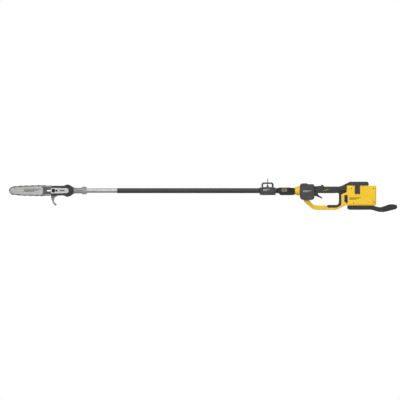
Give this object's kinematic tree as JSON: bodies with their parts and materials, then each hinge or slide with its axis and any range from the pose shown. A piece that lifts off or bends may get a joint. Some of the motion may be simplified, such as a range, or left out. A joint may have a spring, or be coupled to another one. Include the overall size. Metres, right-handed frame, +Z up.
{
  "type": "telescoping pole saw",
  "caption": "Battery pole saw with a sliding pole and lock lever, chain saw head with guide bar, branch hook, two grips, trigger, guard loop and carrying ring.",
  "frame": {"origin": "on the pole's axis, at the face of the battery dock", "axes": "+X along the pole to the user's end, so the saw head is at -X; +Z up; the chain cover faces -Y"},
  "size_m": [2.3901, 0.1025, 0.2046],
  "materials": {
    "black_plastic": "moulded, fine texture",
    "grip_rubber": "soft moulded grip",
    "yellow_plastic": "moulded, semi gloss",
    "painted_pole": "satin dark grey",
    "satin_aluminium": "satin",
    "cast_aluminium": "cast, matt",
    "bright_steel": "brushed",
    "dark_steel": "oiled",
    "copper_winding": "enamelled copper on laminations",
    "circuit": "potted board"
  },
  "bodies": {
    "power_unit": {"inner_pole": "satin_aluminium", "inner_pole_bush": "black_plastic", "front_grip": "grip_rubber", "pole_collar": "yellow_plastic", "motor_housing_left": "black_plastic", "motor_housing_right": "black_plastic", "motor_front_plate": "cast_aluminium", "motor_rear_plate": "cast_aluminium", "motor_stator": "copper_winding", "motor_bearing_front": "bright_steel", "motor_bearing_rear": "bright_steel", "handle_shell_left": "black_plastic", "handle_shell_right": "black_plastic", "switch_module": "black_plastic", "guard_loop": "yellow_plastic", "rear_housing_left": "yellow_plastic", "rear_housing_right": "yellow_plastic", "vent_insert": "black_plastic", "controller_module": "circuit", "battery_dock": "black_plastic", "wire_harness": "black_plastic", "top_bumper": "black_plastic", "rear_skid": "black_plastic"},
    "motor_shaft": {"motor_rotor": "dark_steel", "motor_fan": "black_plastic", "drive_shaft_rear": "bright_steel"},
    "boom": {"outer_pole": "painted_pole", "front_tube": "satin_aluminium", "lock_body_left": "black_plastic", "lock_body_right": "black_plastic", "hanger_loop": "black_plastic", "gear_case": "cast_aluminium", "gear_case_cover": "cast_aluminium", "pinion_bearing": "bright_steel", "spindle_bearing": "bright_steel", "clamp_bolt_upper": "dark_steel", "clamp_bolt_lower": "dark_steel", "sprocket_cover": "black_plastic", "cover_plate": "bright_steel", "bar_stud": "bright_steel", "bar_nut": "dark_steel", "oil_tank": "black_plastic", "oil_pump": "dark_steel", "branch_hook": "bright_steel", "saw_chain": "dark_steel"},
    "head_shaft": {"drive_shaft_front": "bright_steel", "bevel_pinion": "dark_steel"},
    "spindle": {"bevel_gear": "dark_steel", "sprocket_spindle": "bright_steel", "drive_sprocket": "dark_steel"},
    "bar_unit": {"guide_bar": "bright_steel", "tension_slider": "bright_steel"},
    "nose_star": {"nose_sprocket": "dark_steel"},
    "tension_screw": {"tension_screw": "dark_steel"},
    "oil_cap": {"oil_cap": "yellow_plastic"},
    "lock_lever": {"lock_lever": "black_plastic"},
    "clamp_shoe": {"clamp_shoe": "dark_steel"},
    "hanger_ring": {"hanger_ring": "bright_steel"},
    "trigger": {"trigger": "black_plastic"},
    "lock_off_button": {"lock_off_button": "black_plastic"}
  },
  "joints": [
    {"name": "telescope", "type": "slide", "parent": "power_unit", "child": "boom", "axis": [-1, 0, 0], "range_m": [0, 0.62]},
    {"name": "motor_spin", "type": "hinge", "parent": "power_unit", "child": "motor_shaft", "pos_m": [-0.4699, 0, 0], "axis": [1, 0, 0], "continuous": true},
    {"name": "head_shaft_spin", "type": "hinge", "parent": "boom", "child": "head_shaft", "pos_m": [-1.8299, 0, 0], "axis": [1, 0, 0], "continuous": true},
    {"name": "spindle_spin", "type": "hinge", "parent": "boom", "child": "spindle", "pos_m": [-1.8977, -0.0265, 0], "axis": [0, 1, 0], "continuous": true},
    {"name": "nose_spin", "type": "hinge", "parent": "bar_unit", "child": "nose_star", "pos_m": [-2.2327, -0.0265, 0], "axis": [0, 1, 0], "continuous": true},
    {"name": "tension_turn", "type": "hinge", "parent": "boom", "child": "tension_screw", "pos_m": [-1.9657, -0.0455, 0], "axis": [0, 1, 0], "range_deg": [0, 2161]},
    {"name": "bar_slide", "type": "slide", "parent": "boom", "child": "bar_unit", "axis": [1, 0, 0], "range_m": [0, 0.006]},
    {"name": "oil_cap_turn", "type": "hinge", "parent": "boom", "child": "oil_cap", "pos_m": [-1.9667, 0.034, 0], "axis": [0, 1, 0], "range_deg": [0, 90]},
    {"name": "lock_lever_swing", "type": "hinge", "parent": "boom", "child": "lock_lever", "pos_m": [-0.6342, 0, -0.024], "axis": [0, -1, 0], "range_deg": [0, 100.1]},
    {"name": "clamp_shoe_lift", "type": "slide", "parent": "boom", "child": "clamp_shoe", "axis": [0, 0, -1], "range_m": [0, 0.0008]},
    {"name": "hanger_ring_swing", "type": "hinge", "parent": "boom", "child": "hanger_ring", "pos_m": [-0.6681, 0, 0.0285], "axis": [0, 1, 0], "range_deg": [-50, 50]},
    {"name": "trigger_pull", "type": "hinge", "parent": "power_unit", "child": "trigger", "pos_m": [-0.3679, 0, -0.0265], "axis": [0, -1, 0], "range_deg": [0, 20], "stiffness_Nm_per_rad": 0.5, "springref_deg": -17.19},
    {"name": "lock_off_press", "type": "slide", "parent": "power_unit", "child": "lock_off_button", "axis": [0, 0, -1], "range_m": [0, 0.003], "stiffness_N_per_m": 600, "springref_m": -0.002}
  ],
  "couplings": [
    {"joint": "head_shaft_spin", "follows": "motor_spin", "ratio": 1},
    {"joint": "spindle_spin", "follows": "motor_spin", "ratio": 0.66667},
    {"joint": "nose_spin", "follows": "motor_spin", "ratio": 0.66667},
    {"joint": "tension_turn", "follows": "bar_slide", "rad_per_m": 6283.2},
    {"joint": "lock_lever_swing", "follows": "clamp_shoe_lift", "rad_per_m": 2181.7}
  ]
}
